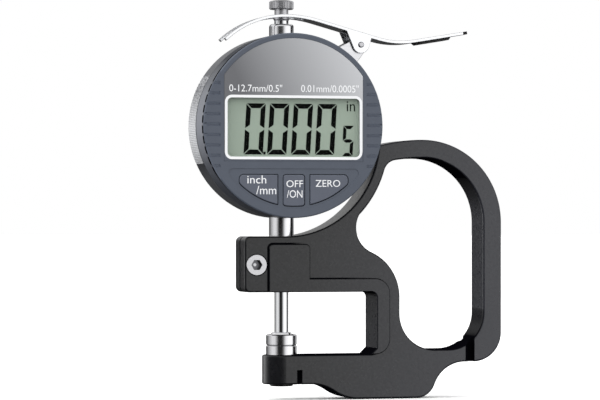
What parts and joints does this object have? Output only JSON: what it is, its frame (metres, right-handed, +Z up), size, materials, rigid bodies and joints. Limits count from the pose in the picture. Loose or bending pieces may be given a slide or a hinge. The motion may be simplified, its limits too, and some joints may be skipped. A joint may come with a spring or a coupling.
{
  "type": "digital thickness gauge",
  "caption": "Hand-held digital thickness gauge: plate frame with an open throat and hand loop, round display head, spring-loaded spindle with flat anvils and a lifting lever.",
  "frame": {"origin": "the point where the spindle axis meets the measuring plane, between the two anvils", "axes": "+Z up the spindle, away from the lower anvil; -Y towards the user, out of the display; +X towards the hand loop"},
  "size_m": [0.1032, 0.0231, 0.1296],
  "materials": {
    "frame_paint": "satin dark grey coating on a cast aluminium plate",
    "anvil_steel": "ground and lapped",
    "bright_steel": "polished",
    "screw_steel": "plain turned",
    "bronze": "turned",
    "case_grey": "satin",
    "head_plastic": "fine matt, blue grey",
    "black_plastic": "matt",
    "label_film": "printed film with a soft sheen",
    "clear_window": "clear, polished",
    "lcd_glass": "grey green",
    "button_plastic": "matt, slightly lighter than the case",
    "board_green": "varnished glass-fibre board",
    "silicone": "matt",
    "dark_rubber": "matt",
    "battery_steel": "bright",
    "contact_metal": "gold plated",
    "ribbon_film": "amber film"
  },
  "bodies": {
    "frame_body": {"frame": "frame_paint", "lower_anvil": "anvil_steel", "clamp_screw": "screw_steel", "stem": "bright_steel", "lower_bush": "bronze", "upper_guide": "bright_steel", "rear_case": "case_grey", "back_cover": "head_plastic", "back_cover_screws": "screw_steel", "battery": "battery_steel", "battery_cap": "head_plastic", "battery_contact": "contact_metal", "sensor_board": "board_green", "ribbon_cable": "ribbon_film", "guide_pin": "screw_steel", "return_spring": "screw_steel", "lever_bracket": "bright_steel", "bracket_screw": "screw_steel", "lever_pivot_pin": "bright_steel", "hub_clip": "screw_steel"},
    "spindle_body": {"spindle": "bright_steel", "contact_anvil": "anvil_steel", "lift_knob": "bright_steel", "carriage": "black_plastic", "scale_plate": "board_green"},
    "lever_body": {"lever": "bright_steel", "lever_grip": "dark_rubber"},
    "display_head": {"middle_case": "head_plastic", "front_cover": "head_plastic", "cover_screws": "screw_steel", "face_label": "label_film", "window_lens": "clear_window", "lcd_panel": "lcd_glass", "lcd_holder": "black_plastic", "zebra_strips": "silicone", "circuit_board": "board_green", "keypad_mat": "silicone"},
    "unit_button": {"unit_button": "button_plastic"},
    "power_button": {"power_button": "button_plastic"},
    "zero_button": {"zero_button": "button_plastic"}
  },
  "joints": [
    {"name": "spindle_lift", "type": "slide", "parent": "frame_body", "child": "spindle_body", "axis": [0, 0, 1], "range_m": [0, 0.0127], "stiffness_N_per_m": 20, "springref_m": -0.03, "deforming": ["return_spring"]},
    {"name": "lever_press", "type": "hinge", "parent": "frame_body", "child": "lever_body", "pos_m": [0.02564, 0, 0.09763], "axis": [0, 1, 0], "range_deg": [0, 28]},
    {"name": "display_turn", "type": "hinge", "parent": "frame_body", "child": "display_head", "pos_m": [0, -0.01, 0.0708], "axis": [0, 1, 0], "range_deg": [-135, 135]},
    {"name": "unit_button_press", "type": "slide", "parent": "display_head", "child": "unit_button", "axis": [0, 1, 0], "range_m": [0, 0.00045], "stiffness_N_per_m": 800},
    {"name": "power_button_press", "type": "slide", "parent": "display_head", "child": "power_button", "axis": [0, 1, 0], "range_m": [0, 0.00045], "stiffness_N_per_m": 800},
    {"name": "zero_button_press", "type": "slide", "parent": "display_head", "child": "zero_button", "axis": [0, 1, 0], "range_m": [0, 0.00045], "stiffness_N_per_m": 800}
  ],
  "couplings": [
    {"joint": "lever_press", "follows": "spindle_lift", "rad_per_m": 38.476}
  ]
}
